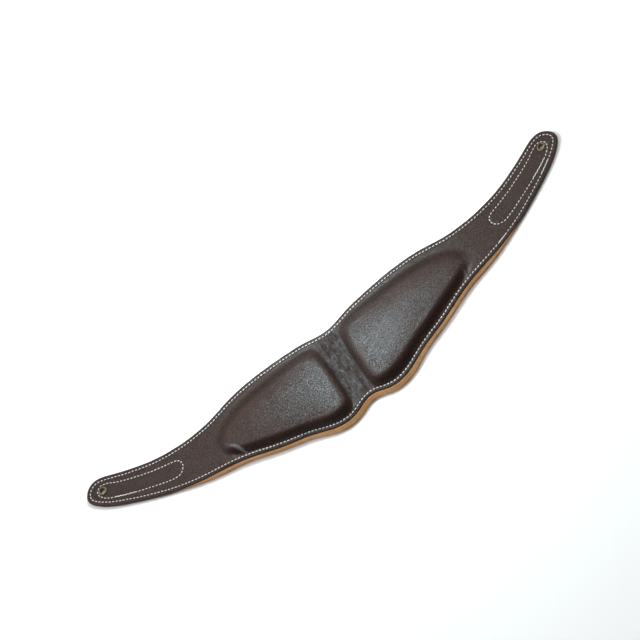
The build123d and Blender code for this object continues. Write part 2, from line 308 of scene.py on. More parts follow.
def front_top(points, detail=True):
    """Upper face of the front leather."""
    x, y = points[:, 0], points[:, 1]
    d, place, nor, idx, frac = nearest(points, EDGE)
    d = np.where(inside(points, EDGE), d, 0.0)
    rim = edge_z(x) + FRONT_T
    h, share = cushion(points)
    z = rim + h
    # the rim falls away a little outside the seam
    z -= (0.35 + 0.80 * turned_down(x, y)) * np.clip(1 - d / SEAM, 0, 1) ** 2
    if detail:
        # cut edge with a small radius
        r = 0.45
        e = np.clip(r - d, 0, r)
        z -= r - np.sqrt(np.maximum(r * r - e * e, 0))
        # leather pulled down along the seams and at each needle hole
        z -= 0.34 * np.exp(-((d - SEAM) / 0.62) ** 2)
        z -= 0.10 * np.exp(-((d - SEAM) / 1.6) ** 2)
        ax = np.c_[np.abs(x), y]
        on_arm = ax[:, 0] > 138
        dt = np.full(len(x), 99.0)
        st = np.full(len(x), -99.0)
        if on_arm.any():
            st[on_arm] = signed(ax[on_arm], TONGUE_C)
            dt[on_arm] = np.abs(st[on_arm])
        z -= 0.26 * np.exp(-(dt / 0.6) ** 2)
        z += 0.16 * step(0.3, 1.8, st)
        # eyelet pressed into the leather
        re = np.hypot(ax[:, 0] - EYE[0], y - EYE[1])
        z -= 0.30 * np.exp(-(np.maximum(re - 3.2, 0) / 1.1) ** 2)
        near = np.minimum(np.abs(d - SEAM), dt) < 1.2
        if near.any():
            q = points[near]
            dip = np.full(len(q), 99.0)
            for k in range(0, len(q), 3000):
                dip[k:k + 3000] = np.sqrt(((q[k:k + 3000, None]
                                            - all_holes[None]) ** 2).sum(2).min(1))
            z[near] -= 0.22 * np.exp(-(dip / 0.55) ** 2)
        # slow unevenness of real leather
        calm = step(3.5, 8.0, d)
        z += calm * (0.16 * vnoise(x / 17, y / 14, 1)
                     + 0.07 * vnoise(x / 6.5, y / 5.5, 2))
    return z, d, share


# ---------------------------------------------------------------------------
# meshes
# ---------------------------------------------------------------------------
def thin_out(points, keep_from, gap):
    """points further than gap from every point in keep_from."""
    out = np.ones(len(points), bool)
    for k in range(0, len(points), 2000):
        p = points[k:k + 2000]
        for m in range(0, len(keep_from), 4000):
            out[k:k + 2000] &= (((p[:, None] - keep_from[None, m:m + 4000]) ** 2)
                                .sum(2).min(1) > gap * gap)
    return points[out]


def hexgrid(x0, x1, y0, y1, pitch):
    ys = np.arange(y0, y1, pitch * 0.866)
    rows = [np.c_[np.arange(x0 + (pitch / 2 if k % 2 else 0), x1, pitch),
                  np.full(len(np.arange(x0 + (pitch / 2 if k % 2 else 0), x1,
                                        pitch)), y)]
            for k, y in enumerate(ys)]
    return np.concatenate(rows)


def triangulate(edge, extra, holes=(), cuts=()):
    """Triangles inside the closed line edge, through every extra point, with
    round holes left out and with edges along the cut lines x = c."""
    verts = [tuple(p) for p in edge]
    n = len(verts)
    edges = []
    faces = [list(range(n))]
    for c, r in holes:
        m = 28
        base = len(verts)
        ring = [(c[0] + r * math.cos(2 * math.pi * k / m),
                 c[1] + r * math.sin(2 * math.pi * k / m)) for k in range(m)]
        verts += ring
        edges += [(base + k, base + (k + 1) % m) for k in range(m)]
    for c in cuts:
        row = np.c_[np.full(180, float(c)), np.linspace(-60, 60, 180)]
        gap = signed(row, np.asarray(edge))
        row = row[(gap > 0.35) | (gap < -2)]
        base = len(verts)
        verts += [tuple(p) for p in row]
        edges += [(base + k, base + k + 1) for k in range(len(row) - 1)]
    if len(cuts):
        far = np.min([np.abs(extra[:, 0] - c) for c in cuts], axis=0)
        extra = extra[far > 0.34]
    verts += [tuple(p) for p in extra]
    co, _, tri, _, _, _ = geometry.delaunay_2d_cdt(
        [Vector(v) for v in verts], edges, faces, 1, 1e-5, True)
    co = np.array([(v.x, v.y) for v in co])
    tri = np.array([t for t in tri if len(t) == 3])
    mid = co[tri].mean(1)
    keep = inside(mid, np.asarray(edge))
    for c, r in holes:
        keep &= np.hypot(mid[:, 0] - c[0], mid[:, 1] - c[1]) > r * 0.98
    tri = tri[keep]
    used = np.unique(tri)
    new = -np.ones(len(co), int)
    new[used] = np.arange(len(used))
    co, tri = co[used], new[tri]
    a, b, c = co[tri[:, 0]], co[tri[:, 1]], co[tri[:, 2]]
    area = np.cross(b - a, c - a)
    tri[area < 0] = tri[area < 0][:, ::-1]
    return co, tri


def loops(tri):
    """Boundary loops of a triangulation, each an ordered list of vertices."""
    e = np.concatenate([tri[:, [0, 1]], tri[:, [1, 2]], tri[:, [2, 0]]])
    have = set(map(tuple, e.tolist()))
    nxt = {a: b for a, b in have if (b, a) not in have}
    out = []
    while nxt:
        first, b = next(iter(nxt.items()))
        loop = [first]
        del nxt[first]
        while b != first:
            loop.append(b)
            b = nxt.pop(b)
        out.append(np.array(loop))
    return out


class Shell:
    """A closed mesh in the making: vertices in mm, faces, one mark per face
    and named values per vertex."""

    def __init__(self):
        self.co, self.faces, self.mark = [], [], []
        self.n = 0

    def add(self, co):
        self.co.append(np.asarray(co, float))
        first = self.n
        self.n += len(co)
        return first

    def tris(self, tri, mark):
        self.faces += [tuple(t) for t in tri.tolist()]
        self.mark += [mark] * len(tri)

    def strip(self, a, b, mark):
        """Quads between closed rows a and b of vertex numbers."""
        n = len(a)
        for i in range(n):
            j = (i + 1) % n
            self.faces.append((int(a[i]), int(b[i]), int(b[j]), int(a[j])))
            self.mark.append(mark)

    def done(self):
        return np.concatenate(self.co), self.faces, np.array(self.mark)


def mesh_object(name, co, faces, marks, materials, values=None, nor=None,
                smooth=True):
    """A Blender object from mm data. nor: not used."""
    me = bpy.data.meshes.new(name)
    me.from_pydata([tuple(v) for v in (np.asarray(co) * 0.001)], [],
                   [list(map(int, f)) for f in faces])
    for m in materials:
        me.materials.append(m)
    me.polygons.foreach_set("material_index", np.asarray(marks, np.int32))
    me.polygons.foreach_set("use_smooth", np.full(len(faces), smooth))
    rest = me.attributes.new("rest", "FLOAT_VECTOR", "POINT")
    rest.data.foreach_set("vector", (np.asarray(co) * 0.001)
                          .astype(np.float32).ravel())
    for key, val in (values or {}).items():
        att = me.attributes.new(key, "FLOAT", "POINT")
        att.data.foreach_set("value", np.asarray(val, np.float32))
    me.validate()
    me.update()
    ob = bpy.data.objects.new(name, me)
    bpy.context.scene.collection.objects.link(ob)
    return ob


def vertex_normals(co, faces):
    co = np.asarray(co, float)
    out = np.zeros_like(co)
    by = {}
    for f in faces:
        by.setdefault(len(f), []).append(f)
    for k, fs in by.items():
        fs = np.array(fs)
        p = co[fs]
        n = np.zeros((len(fs), 3))
        for i in range(1, k - 1):
            n += np.cross(p[:, i] - p[:, 0], p[:, i + 1] - p[:, 0])
        for i in range(k):
            np.add.at(out, fs[:, i], n)
    out /= np.maximum(np.linalg.norm(out, axis=1), 1e-12)[:, None]
    return out


def three_pieces(name, co, faces, marks, materials, values, sharp_marks=()):
    """The sheet cut at x = -CUT and x = +CUT into left, middle and right,
    each closed again and with the whole sheet's normals kept at the cuts."""
    co = np.asarray(co, float)
    nor = {}
    groups = {}
    mk = np.asarray(marks)
    for g in set(mk.tolist()):
        key = g if g in sharp_marks else "soft"
        groups.setdefault(key, []).append(g)
    for key, gs in groups.items():
        sel = [f for f, m in zip(faces, mk) if m in gs]
        nor[key] = vertex_normals(co, sel)
    mid = np.array([co[list(f)].mean(0)[0] for f in faces])
    out = []
    for tag, keep in (("left", mid < -CUT), ("middle", np.abs(mid) <= CUT),
                      ("right", mid > CUT)):
        idx = np.nonzero(keep)[0]
        fs = [faces[i] for i in idx]
        ms = [int(mk[i]) for i in idx]
        used = sorted({v for f in fs for v in f})
        new = {v: k for k, v in enumerate(used)}
        fs = [tuple(new[v] for v in f) for f in fs]
        c = co[used]
        e = {}
        for f in fs:
            for a, b in zip(f, f[1:] + f[:1]):
                e[(a, b)] = True
        nxt = {}
        for a, b in e:
            if (b, a) not in e:
                nxt[b] = a
        caps = []
        while nxt:
            first, b = next(iter(nxt.items()))
            loop = [first]
            del nxt[first]
            while b != first and b in nxt:
                loop.append(b)
                b = nxt.pop(b)
            if len(loop) > 2:
                caps.append(tuple(loop))
        ncap = len(caps)
        ob = mesh_object(f"{name}_{tag}", c, fs + caps, ms + [ms[0]] * ncap,
                         materials,
                         {k: np.asarray(v)[used] for k, v in values.items()})
        me = ob.data
        split = np.zeros((len(me.loops), 3))
        cap_normal = None
        for k, poly in enumerate(me.polygons):
            ls = list(poly.loop_indices)
            if k >= len(fs):
                split[ls] = np.array(poly.normal)
                poly.use_smooth = False
            else:
                m = ms[k]
                n = nor[m if m in sharp_marks else "soft"]
                for li in ls:
                    split[li] = n[used[me.loops[li].vertex_index]]
        me.normals_split_custom_set([tuple(v) for v in split])
        out.append(ob)
    return out


# ---------------------------------------------------------------------------
# materials
# ---------------------------------------------------------------------------
def material(name):
    m = bpy.data.materials.new(name)
    m.use_nodes = True
    nt = m.node_tree
    nt.nodes.clear()
    out = nt.nodes.new("ShaderNodeOutputMaterial")
    sh = nt.nodes.new("ShaderNodeBsdfPrincipled")
    nt.links.new(sh.outputs[0], out.inputs[0])
    return m, nt, sh


def node(nt, kind, **put):
    n = nt.nodes.new(kind)
    for k, v in put.items():
        setattr(n, k, v)
    return n


def link(nt, a, b):
    nt.links.new(a, b)


def attr(nt, name):
    n = node(nt, "ShaderNodeAttribute", attribute_name=name)
    return n


def rest_vector(nt, scale=(1, 1, 1), rotate=(0, 0, 0)):
    a = attr(nt, "rest")
    m = node(nt, "ShaderNodeMapping")
    m.inputs["Scale"].default_value = scale
    m.inputs["Rotation"].default_value = rotate
    link(nt, a.outputs["Vector"], m.inputs["Vector"])
    return m.outputs["Vector"]


def noise(nt, vec, scale, detail=3.0, rough=0.55, distort=0.0):
    n = node(nt, "ShaderNodeTexNoise")
    n.inputs["Scale"].default_value = scale
    n.inputs["Detail"].default_value = detail
    n.inputs["Roughness"].default_value = rough
    n.inputs["Distortion"].default_value = distort
    link(nt, vec, n.inputs["Vector"])
    return n.outputs["Fac"]


def voronoi(nt, vec, scale, feature="DISTANCE_TO_EDGE", out="Distance",
            randomness=1.0):
    n = node(nt, "ShaderNodeTexVoronoi", feature=feature)
    n.inputs["Scale"].default_value = scale
    n.inputs["Randomness"].default_value = randomness
    link(nt, vec, n.inputs["Vector"])
    return n.outputs[out]


def math_node(nt, op, a, b=None, c=None, clamp=False):
    n = node(nt, "ShaderNodeMath", operation=op, use_clamp=clamp)
    for i, v in enumerate((a, b, c)):
        if v is None:
            continue
        if isinstance(v, (int, float)):
            n.inputs[i].default_value = v
        else:
            link(nt, v, n.inputs[i])
    return n.outputs[0]


def ramp(nt, fac, stops):
    n = node(nt, "ShaderNodeValToRGB")
    el = n.color_ramp.elements
    while len(el) < len(stops):
        el.new(0.5)
    for e, (p, c) in zip(el, stops):
        e.position = p
        e.color = (*c, 1) if len(c) == 3 else c
    link(nt, fac, n.inputs["Fac"])
    return n.outputs["Color"]


def span(nt, fac, a, b, c, d, clamp=True):
    n = node(nt, "ShaderNodeMapRange", clamp=clamp)
    for k, v in zip(("From Min", "From Max", "To Min", "To Max"), (a, b, c, d)):
        n.inputs[k].default_value = v
    link(nt, fac, n.inputs["Value"])
    return n.outputs["Result"]


def mix_value(nt, fac, a, b):
    """a where fac is 0, b where it is 1, for single values."""
    n = node(nt, "ShaderNodeMix", data_type="FLOAT", clamp_factor=True)
    for i, v in ((0, fac), (2, a), (3, b)):
        if hasattr(v, "is_output"):
            link(nt, v, n.inputs[i])
        else:
            n.inputs[i].default_value = v
    return n.outputs[0]


def mix(nt, fac, a, b, blend="MIX"):
    n = node(nt, "ShaderNodeMix", data_type="RGBA", blend_type=blend)
    for sock, v in ((n.inputs["Factor"], fac), (n.inputs[6], a),
                    (n.inputs[7], b)):
        if isinstance(v, (int, float)):
            sock.default_value = v
        elif isinstance(v, tuple):
            sock.default_value = (*v, 1) if len(v) == 3 else v
        else:
            link(nt, v, sock)
    return n.outputs[2]


def bump(nt, height, strength, distance, normal=None):
    n = node(nt, "ShaderNodeBump")
    n.inputs["Distance"].default_value = distance
    if isinstance(strength, (int, float)):
        n.inputs["Strength"].default_value = strength
    else:
        link(nt, strength, n.inputs["Strength"])
    link(nt, height, n.inputs["Height"])
    if normal is not None:
        link(nt, normal, n.inputs["Normal"])
    return n.outputs["Normal"]


def front_leather():
    m, nt, sh = material("front_leather")
    v = rest_vector(nt)
    coarse = attr(nt, "coarse").outputs["Fac"]       # 1 in the crease, 0 on the cushions
    # mask of the pale grey on the crease and fold ridges: partly wear, partly painted sheen
    wear_and_sheen = attr(nt, "wear_and_sheen").outputs["Fac"]
    warp = noise(nt, v, 160, 2, 0.5)
    wv = node(nt, "ShaderNodeVectorMath", operation="MULTIPLY_ADD")
    link(nt, warp, wv.inputs[0])
    wv.inputs[1].default_value = (0.0011, 0.0011, 0.0011)
    link(nt, v, wv.inputs[2])
    cell = voronoi(nt, wv.outputs[0], 900)
    cell2 = voronoi(nt, wv.outputs[0], 1900)
    pore = noise(nt, v, 2600, 2, 0.6)
    slow = noise(nt, v, 26, 4, 0.6)
    mid = noise(nt, v, 210, 4, 0.6)
    # colour: brown dye, a little uneven, darker in the grain's valleys
    base = mix(nt, span(nt, slow, 0.35, 0.65, 0, 1), (0.0305, 0.0118, 0.0074),
               (0.0420, 0.0168, 0.0112))
    base = mix(nt, span(nt, mid, 0.3, 0.75, 0, 0.55), base,
               (0.0190, 0.0100, 0.0068))
    valley = span(nt, cell, 0.0, 0.12, 1, 0)
    base = mix(nt, math_node(nt, "MULTIPLY", valley, 0.55), base,
               (0.0095, 0.0058, 0.0045))
    # painted shade: the base colour is darker on the steep sides of the cushions
    painted_wall_shade = attr(nt, "painted_wall_shade").outputs["Fac"]
    base = mix(nt, math_node(nt, "MULTIPLY", painted_wall_shade, 0.70), base,
               (0.0085, 0.0052, 0.0042))
    # fine creases along the strip between the cushions; the pale grey laid on their ridges
    # and on the folds' ridges is partly wear and partly painted sheen
    strip = attr(nt, "strip").outputs["Fac"]
    fine = noise(nt, rest_vector(nt, (1.0, 0.22, 1.0), (0, 0, 0.10)), 1150, 3,
                 0.6, 0.6)
    fine = math_node(nt, "ABSOLUTE", math_node(nt, "SUBTRACT", fine, 0.5))
    rub_and_sheen = mix_value(nt, strip, 1.0, span(nt, fine, 0.01, 0.10, 0.30, 1.15, False))
    base = mix(nt, math_node(nt, "MULTIPLY", wear_and_sheen,
                             math_node(nt, "MULTIPLY", rub_and_sheen, 0.85), clamp=True),
               base, (0.135, 0.127, 0.127))
    link(nt, base, sh.inputs["Base Color"])
    rough = span(nt, mid, 0.25, 0.75, 0.27, 0.35)
    rough = math_node(nt, "ADD", rough, math_node(nt, "MULTIPLY", valley, 0.10))
    rough = math_node(nt, "ADD", rough, math_node(nt, "MULTIPLY", coarse, 0.14))
    link(nt, rough, sh.inputs["Roughness"])
    speck = noise(nt, v, 1150, 2, 0.55)
    shine = span(nt, speck, 0.36, 0.64, 0.115, 0.450)
    shine = math_node(nt, "MULTIPLY", shine, span(nt, painted_wall_shade, 0, 1, 1.0, 0.55))
    link(nt, shine, sh.inputs["Specular IOR Level"])
    sh.inputs["Sheen Weight"].default_value = 0.02
    sh.inputs["Sheen Roughness"].default_value = 0.5
    sh.inputs["Sheen Tint"].default_value = (0.75, 0.82, 0.95, 1)
    amount = math_node(nt, "ADD", 0.32, math_node(nt, "MULTIPLY", coarse, 0.6))
    n1 = bump(nt, span(nt, cell, 0.0, 0.28, 0, 1), amount, 0.00016)
    n2 = bump(nt, span(nt, cell2, 0.0, 0.3, 0, 1),
              math_node(nt, "MULTIPLY", amount, 0.5), 0.00008, n1)
    n3 = bump(nt, pore, math_node(nt, "MULTIPLY", amount, 0.45), 0.00005, n2)
    pebble = noise(nt, v, 860, 2, 0.5)
    n4 = bump(nt, pebble, math_node(nt, "ADD", 0.55, math_node(
        nt, "MULTIPLY", coarse, 0.3)), 0.00052, n3)
    n4 = bump(nt, span(nt, fine, 0.0, 0.14, 0, 1), strip, 0.00034, n4)
    n5 = bump(nt, mid, 0.35, 0.00025, n4)
    link(nt, n5, sh.inputs["Normal"])
    return m


def cut_edge():
    """Burnished edge of the front leather."""
    m, nt, sh = material("front_cut_edge")
    v = rest_vector(nt)
    fibre = noise(nt, rest_vector(nt, (1, 1, 4)), 900, 3, 0.6)
    slow = noise(nt, v, 60, 3, 0.6)
    base = mix(nt, slow, (0.030, 0.020, 0.013), (0.062, 0.044, 0.027))
    base = mix(nt, span(nt, fibre, 0.5, 0.75, 0, 0.6), base,
               (0.085, 0.062, 0.040))
    link(nt, base, sh.inputs["Base Color"])
    sh.inputs["Roughness"].default_value = 0.6
    link(nt, bump(nt, fibre, 0.5, 0.0001), sh.inputs["Normal"])
    return m


def back_leather():
    m, nt, sh = material("back_leather")
    v = rest_vector(nt)
    dark = attr(nt, "edge_dark").outputs["Fac"]
    slow = noise(nt, v, 34, 5, 0.6)
    mid = noise(nt, v, 320, 4, 0.65)
    pore = voronoi(nt, v, 1500, "F1")
    fibre = noise(nt, rest_vector(nt, (1, 1, 3)), 1100, 3, 0.7)
    base = mix(nt, span(nt, slow, 0.3, 0.7, 0, 1), (0.560, 0.270, 0.098),
               (0.720, 0.375, 0.150))
    base = mix(nt, span(nt, mid, 0.45, 0.8, 0, 0.5), base,
               (0.430, 0.195, 0.068))
    base = mix(nt, span(nt, pore, 0.0, 0.25, 0.35, 0), base,
               (0.300, 0.130, 0.045))
    painted = mix(nt, fibre, (0.040, 0.028, 0.017), (0.085, 0.060, 0.036))
    base = mix(nt, dark, base, painted)
    link(nt, base, sh.inputs["Base Color"])
    link(nt, span(nt, mid, 0.2, 0.8, 0.50, 0.68), sh.inputs["Roughness"])
    sh.inputs["Specular IOR Level"].default_value = 0.35
    n1 = bump(nt, pore, 0.30, 0.00008)
    n2 = bump(nt, mid, 0.30, 0.0002, n1)
    n3 = bump(nt, fibre, 0.20, 0.00006, n2)
    link(nt, n3, sh.inputs["Normal"])
    return m


def thread_material():
    m, nt, sh = material("thread")
    v = rest_vector(nt)
    twist = attr(nt, "twist").outputs["Fac"]
    shade = attr(nt, "shade").outputs["Fac"]
    ply = math_node(nt, "SINE", math_node(nt, "MULTIPLY", twist, 2 * math.pi))
    fuzz = noise(nt, v, 4200, 2, 0.6)
    base = mix(nt, shade, (0.99, 0.89, 0.84), (0.89, 0.79, 0.73))
    base = mix(nt, span(nt, ply, -1.0, -0.5, 0.55, 0.0), base,
               (0.30, 0.27, 0.22))
    link(nt, base, sh.inputs["Base Color"])
    sh.inputs["Roughness"].default_value = 0.62
    sh.inputs["Sheen Weight"].default_value = 0.25
    n1 = bump(nt, ply, 0.55, 0.00009)
    n2 = bump(nt, fuzz, 0.35, 0.00005, n1)
    link(nt, n2, sh.inputs["Normal"])
    return m


def brass_material():
    m, nt, sh = material("antique_brass")
    g = node(nt, "ShaderNodeTexCoord").outputs["Object"]
    patina = noise(nt, g, 900, 5, 0.65)
    scratch = noise(nt, g, 5200, 2, 0.5)
    base = mix(nt, span(nt, patina, 0.38, 0.62, 0, 1), (0.085, 0.070, 0.040),
               (0.235, 0.192, 0.108))
    link(nt, base, sh.inputs["Base Color"])
    sh.inputs["Metallic"].default_value = 1.0
    link(nt, span(nt, patina, 0.3, 0.7, 0.50, 0.27), sh.inputs["Roughness"])
    link(nt, bump(nt, scratch, 0.25, 0.00003), sh.inputs["Normal"])
    return m


def foam_material():
    m, nt, sh = material("foam")
    g = node(nt, "ShaderNodeTexCoord").outputs["Object"]
    cell = voronoi(nt, g, 1300, "F1")
    slow = noise(nt, g, 80, 3, 0.6)
    base = mix(nt, slow, (0.62, 0.58, 0.46), (0.78, 0.75, 0.64))
    base = mix(nt, span(nt, cell, 0.0, 0.35, 0.6, 0), base, (0.30, 0.27, 0.20))
    link(nt, base, sh.inputs["Base Color"])
    sh.inputs["Roughness"].default_value = 0.9
    link(nt, bump(nt, cell, 0.8, 0.0003), sh.inputs["Normal"])
    return m


def webbing_material():
    m, nt, sh = material("stiffener_web")
    g = node(nt, "ShaderNodeTexCoord").outputs["Object"]
    a = node(nt, "ShaderNodeTexWave", wave_type="BANDS",
             bands_direction="DIAGONAL")
    a.inputs["Scale"].default_value = 420
    link(nt, g, a.inputs["Vector"])
    n = noise(nt, g, 1500, 3, 0.6)
    base = mix(nt, a.outputs["Fac"], (0.20, 0.17, 0.13), (0.34, 0.30, 0.23))
    base = mix(nt, span(nt, n, 0.4, 0.7, 0, 0.4), base, (0.12, 0.10, 0.08))
    link(nt, base, sh.inputs["Base Color"])
    sh.inputs["Roughness"].default_value = 0.85
    link(nt, bump(nt, a.outputs["Fac"], 0.6, 0.0001), sh.inputs["Normal"])
    return m


M_FRONT, M_CUT, M_BACK = front_leather(), cut_edge(), back_leather()
M_THREAD, M_BRASS = thread_material(), brass_material()
M_FOAM, M_WEB = foam_material(), webbing_material()

# ---------------------------------------------------------------------------
# front leather
# ---------------------------------------------------------------------------
SCALLOP = respace(offset(EDGE, -SEAM), 0.95)


def crease_lines(x, y):
    """Wrinkles of the strip between the cushions."""
    strip = step(12.0, 7.0, np.abs(x - STRIP_X)) * step(-41.5, -34.0, y) \
        * step(23.0, 18.0, y)
    bend = 1.3 * vnoise(x / 9, y / 9, 11)
    u = x - STRIP_X + bend
    a = 1 - np.abs(vnoise(u / 1.25, y / 7.0, 12)) * 2.2
    b = 1 - np.abs(vnoise((u + 0.22 * y) / 1.5, y / 4.2, 13)) * 2.2
    c = 1 - np.abs(vnoise((u - 0.35 * y) / 1.6, y / 3.8, 15)) * 2.2
    d = vnoise(x / 0.95, y / 1.2, 14)
    patch = 0.85 + 0.15 * vnoise(x / 5, y / 7, 16)
    deep = np.exp(-((x - STRIP_X + 5.0 + 0.5 * vnoise(y / 6, y / 6, 17)) / 0.5) ** 2) \
        * step(-2, 4, y) \
        + 0.8 * np.exp(-((x - STRIP_X - 4.9 + 0.6 * vnoise(y / 7, y / 7, 18)) / 0.5) ** 2) \
        * step(-14, -20, y) \
        + 0.7 * np.exp(-((x - STRIP_X + 3.2 + 0.6 * vnoise(y / 5, y / 5, 19)) / 0.45) ** 2) \
        * step(2, 8, y)
    lines = patch * (0.21 * a + 0.13 * b + 0.12 * c) + 0.12 * d - 0.42 * deep
    return strip * lines, strip


FOLDS = [
    # (centre x, centre y, half length, angle in degrees, width, height, bow)
    (-102.4, -11.0, 8.0, -60.0, 0.90, 0.85, 1.2),
    (-104.6, -13.4, 4.6, -66.0, 0.85, -0.36, 0.6),
    (-108.5, -12.6, 3.8, -70.0, 0.75, 0.24, 0.4),
    (-98.6, -14.2, 3.4, -58.0, 0.80, -0.22, 0.3),
    (107.4, -11.6, 4.4, 72.0, 0.75, 0.42, -0.5),
    (109.6, -10.2, 3.6, 66.0, 0.70, -0.34, 0.4),
    (111.8, -10.4, 3.4, 60.0, 0.70, 0.30, -0.3),
    (104.8, -13.0, 3.2, 78.0, 0.75, -0.26, 0.3),
    (114.6, -9.0, 3.0, 52.0, 0.70, 0.20, 0.2),
]


def folds(x, y):
    z = np.zeros(len(x))
    for cx, cy, half, deg, width, high, bow in FOLDS:
        c, s = math.cos(math.radians(deg)), math.sin(math.radians(deg))
        u = (x - cx) * c + (y - cy) * s
        v = -(x - cx) * s + (y - cy) * c
        v = v - bow * (1 - (u / half) ** 2)
        fade = np.clip(1 - (u / half) ** 2, 0, 1)
        z += high * fade * np.exp(-(v / width) ** 2)
    return z


def relax(z, tri, mask, rounds, keep_edge):
    """Evens out z over the triangulation where mask is above zero."""
    e = np.concatenate([tri[:, [0, 1]], tri[:, [1, 2]], tri[:, [2, 0]]])
    n = len(z)
    count = np.bincount(e[:, 0], minlength=n) + np.bincount(e[:, 1], minlength=n)
    w = np.where(keep_edge, 0, mask)
    for _ in range(rounds):
        total = np.bincount(e[:, 0], z[e[:, 1]], n) \
            + np.bincount(e[:, 1], z[e[:, 0]], n)
        z = z + w * 0.5 * (total / np.maximum(count, 1) - z)
    return z


def swell():
    """Cloth simulation of the leather over the two cushions: held along the
    strip, the rims and the arms, pushed up by the padding. Gives the rise in
    mm on a regular grid."""
    pitch = 2.6
    xs = np.arange(-124.8, 125, pitch)
    ys = np.arange(-48.1, 32, pitch)
    gx, gy = np.meshgrid(xs, ys)
    flat = np.c_[gx.ravel(), gy.ravel()]
    z, _, share = front_top(flat, detail=False)
    index = np.arange(len(flat)).reshape(gx.shape)
    quads = np.stack([index[:-1, :-1], index[:-1, 1:], index[1:, 1:],
                      index[1:, :-1]], -1).reshape(-1, 4)
    me = bpy.data.meshes.new("swell")
    me.from_pydata([(x * 0.001, y * 0.001, h * 0.001)
                    for (x, y), h in zip(flat, z)], [], quads.tolist())
    me.update()
    ob = bpy.data.objects.new("swell", me)
    scene = bpy.context.scene
    scene.collection.objects.link(ob)
    group = ob.vertex_groups.new(name="held")
    for i in np.nonzero(share < 0.03)[0].tolist():
        group.add([i], 1.0, "ADD")
    mod = ob.modifiers.new("cloth", "CLOTH")
    st = mod.settings
    st.quality = 6
    st.mass = 0.3
    st.tension_stiffness = st.compression_stiffness = 12
    st.shear_stiffness = 6
    st.bending_stiffness = 0.4
    st.air_damping = 2
    st.vertex_group_mass = "held"
    st.pin_stiffness = 1
    st.use_pressure = True
    st.uniform_pressure_force = 4
    st.effector_weights.gravity = 0
    mod.collision_settings.use_collision = False
    mod.collision_settings.use_self_collision = False
    mod.point_cache.frame_start, mod.point_cache.frame_end = 1, 20
    for f in range(1, 21):
        scene.frame_set(f)
    got = ob.evaluated_get(bpy.context.evaluated_depsgraph_get()).data
    co = np.empty(len(flat) * 3)
    got.vertices.foreach_get("co", co)
    rise = co.reshape(-1, 3)[:, 2] * 1000 - z
    scene.frame_set(1)
    bpy.data.objects.remove(ob)
    bpy.data.meshes.remove(me)
    rise = np.where(share > 0.03, rise, 0.0).reshape(gx.shape)
    peak = max(rise.max(), 1e-6)
    rise = np.clip(rise, 0, None) * min(1.0, 1.3 / peak)     # cap the rise
    return xs, ys, rise


def sampled(grid, co):
    xs, ys, v = grid
    u = np.clip((co[:, 0] - xs[0]) / (xs[1] - xs[0]), 0, len(xs) - 1.001)
    w = np.clip((co[:, 1] - ys[0]) / (ys[1] - ys[0]), 0, len(ys) - 1.001)
    i, j = u.astype(int), w.astype(int)
    a, b = u - i, w - j
    return ((v[j, i] * (1 - a) + v[j, i + 1] * a) * (1 - b)
            + (v[j + 1, i] * (1 - a) + v[j + 1, i + 1] * a) * b)


RISE = swell()


